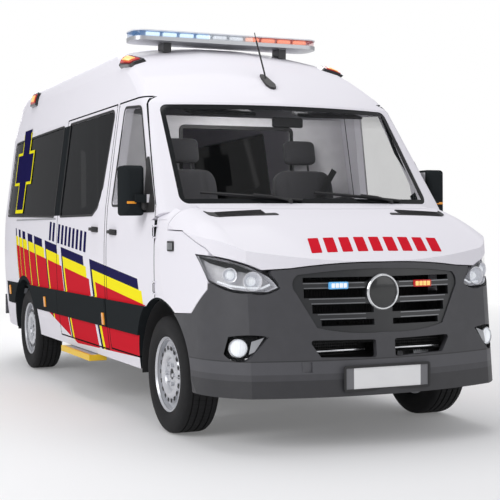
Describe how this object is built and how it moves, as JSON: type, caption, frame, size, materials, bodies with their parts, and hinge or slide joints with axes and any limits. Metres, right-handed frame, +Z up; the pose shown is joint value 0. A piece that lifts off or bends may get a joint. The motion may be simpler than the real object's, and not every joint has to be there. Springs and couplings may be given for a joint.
{
  "type": "panel-van ambulance",
  "caption": "High-roof panel-van ambulance with hinged cab and rear doors, bonnet, sliding side door, light bar and steered road wheels.",
  "frame": {"origin": "on the ground, midway along and across the vehicle", "axes": "+X forward out of the nose, +Y to the vehicle's left, +Z up"},
  "size_m": [5.932, 2.316, 2.662],
  "materials": {
    "white_paint": "gloss white paint",
    "tinted_glass": "dark tinted glass",
    "clear_glass": "clear glass",
    "grey_plastic": "grained dark grey moulding",
    "clear_lens": "clear lamp lens",
    "red_lens": "red lamp lens",
    "lightbar_lens": "coloured lamp lens",
    "plate": "blank pressed plate",
    "tyre": "black rubber",
    "wheel_steel": "silver paint",
    "dark_steel": "black underbody paint",
    "floor_cover": "grey floor covering",
    "engine_iron": "cast metal",
    "exhaust_steel": "bare steel",
    "tank_plastic": "black moulded plastic",
    "step_aluminium": "satin aluminium",
    "dash_plastic": "grained black moulding",
    "seat_fabric": "dark woven cloth",
    "cabinet_board": "pale laminate"
  },
  "bodies": {
    "body": {"roof_panel": "white_paint", "body_side_left": "white_paint", "body_side_right": "white_paint", "sliding_door": "white_paint", "cab_frame": "white_paint", "front_wings": "white_paint", "partition": "white_paint", "side_glass": "tinted_glass", "windscreen": "clear_glass", "front_bumper": "grey_plastic", "grille": "grey_plastic", "rear_bumper": "grey_plastic", "wheel_liners": "grey_plastic", "headlamps": "grey_plastic", "cowl_panel": "grey_plastic", "lamp_lenses": "clear_lens", "tail_lamps": "red_lens", "lightbar_lens": "lightbar_lens", "number_plate": "plate", "front_struts": "dark_steel", "front_subframe": "dark_steel", "rear_axle": "dark_steel", "chassis_rails": "dark_steel", "floor_pan": "floor_cover", "engine_and_gearbox": "engine_iron", "exhaust": "exhaust_steel", "fuel_tank": "tank_plastic", "side_step": "step_aluminium", "lightbar": "step_aluminium", "dashboard": "dash_plastic", "seats": "seat_fabric", "cabinet": "cabinet_board", "stretcher_platform": "cabinet_board"},
    "cab_door_left": {"cab_door_left": "white_paint", "cab_glass_left": "clear_glass"},
    "cab_door_right": {"cab_door_right": "white_paint", "cab_glass_right": "clear_glass"},
    "rear_door_left": {"rear_door_left": "white_paint", "rear_glass_left": "tinted_glass"},
    "rear_door_right": {"rear_door_right": "white_paint", "rear_glass_right": "tinted_glass"},
    "bonnet": {"bonnet": "white_paint"},
    "knuckle_left": {"knuckle_left": "dark_steel"},
    "knuckle_right": {"knuckle_right": "dark_steel"},
    "wheel_front_left": {"tyre_front_left": "tyre", "rim_front_left": "wheel_steel"},
    "wheel_front_right": {"tyre_front_right": "tyre", "rim_front_right": "wheel_steel"},
    "wheel_rear_left": {"tyre_rear_left": "tyre", "rim_rear_left": "wheel_steel"},
    "wheel_rear_right": {"tyre_rear_right": "tyre", "rim_rear_right": "wheel_steel"},
    "steering_wheel": {"steering_wheel": "dash_plastic"}
  },
  "joints": [
    {"name": "cab_door_left_hinge", "type": "hinge", "parent": "body", "child": "cab_door_left", "pos_m": [1.9, 1.016, 1], "axis": [0, 0, -1], "range_deg": [0, 70]},
    {"name": "cab_door_right_hinge", "type": "hinge", "parent": "body", "child": "cab_door_right", "pos_m": [1.9, -1.016, 1], "axis": [0, 0, 1], "range_deg": [0, 70]},
    {"name": "rear_door_left_hinge", "type": "hinge", "parent": "body", "child": "rear_door_left", "pos_m": [-2.908, 0.816, 1.2], "axis": [0, 0, -1], "range_deg": [0, 180]},
    {"name": "rear_door_right_hinge", "type": "hinge", "parent": "body", "child": "rear_door_right", "pos_m": [-2.908, -0.816, 1.2], "axis": [0, 0, 1], "range_deg": [0, 180]},
    {"name": "bonnet_hinge", "type": "hinge", "parent": "body", "child": "bonnet", "pos_m": [2.095, 0, 1.335], "axis": [0, -1, 0], "range_deg": [0, 45]},
    {"name": "steer_left", "type": "hinge", "parent": "body", "child": "knuckle_left", "pos_m": [1.962, 0.744, 0.356], "axis": [0, -0.1616, 0.9869], "range_deg": [-32, 32]},
    {"name": "steer_right", "type": "hinge", "parent": "body", "child": "knuckle_right", "pos_m": [1.962, -0.744, 0.356], "axis": [0, 0.1616, 0.9869], "range_deg": [-32, 32]},
    {"name": "front_left_spin", "type": "hinge", "parent": "knuckle_left", "child": "wheel_front_left", "pos_m": [1.962, 0.855, 0.356], "axis": [0, 1, 0], "continuous": true},
    {"name": "front_right_spin", "type": "hinge", "parent": "knuckle_right", "child": "wheel_front_right", "pos_m": [1.962, -0.855, 0.356], "axis": [0, 1, 0], "continuous": true},
    {"name": "rear_left_spin", "type": "hinge", "parent": "body", "child": "wheel_rear_left", "pos_m": [-1.703, 0.855, 0.356], "axis": [0, 1, 0], "continuous": true},
    {"name": "rear_right_spin", "type": "hinge", "parent": "body", "child": "wheel_rear_right", "pos_m": [-1.703, -0.855, 0.356], "axis": [0, 1, 0], "continuous": true},
    {"name": "steering_wheel_turn", "type": "hinge", "parent": "body", "child": "steering_wheel", "pos_m": [1.53, 0.43, 1.285], "axis": [-0.766, 0, 0.6428], "range_deg": [-450, 450]}
  ],
  "couplings": [
    {"joint": "steer_right", "follows": "steer_left", "ratio": 1},
    {"joint": "steering_wheel_turn", "follows": "steer_left", "ratio": 14}
  ]
}
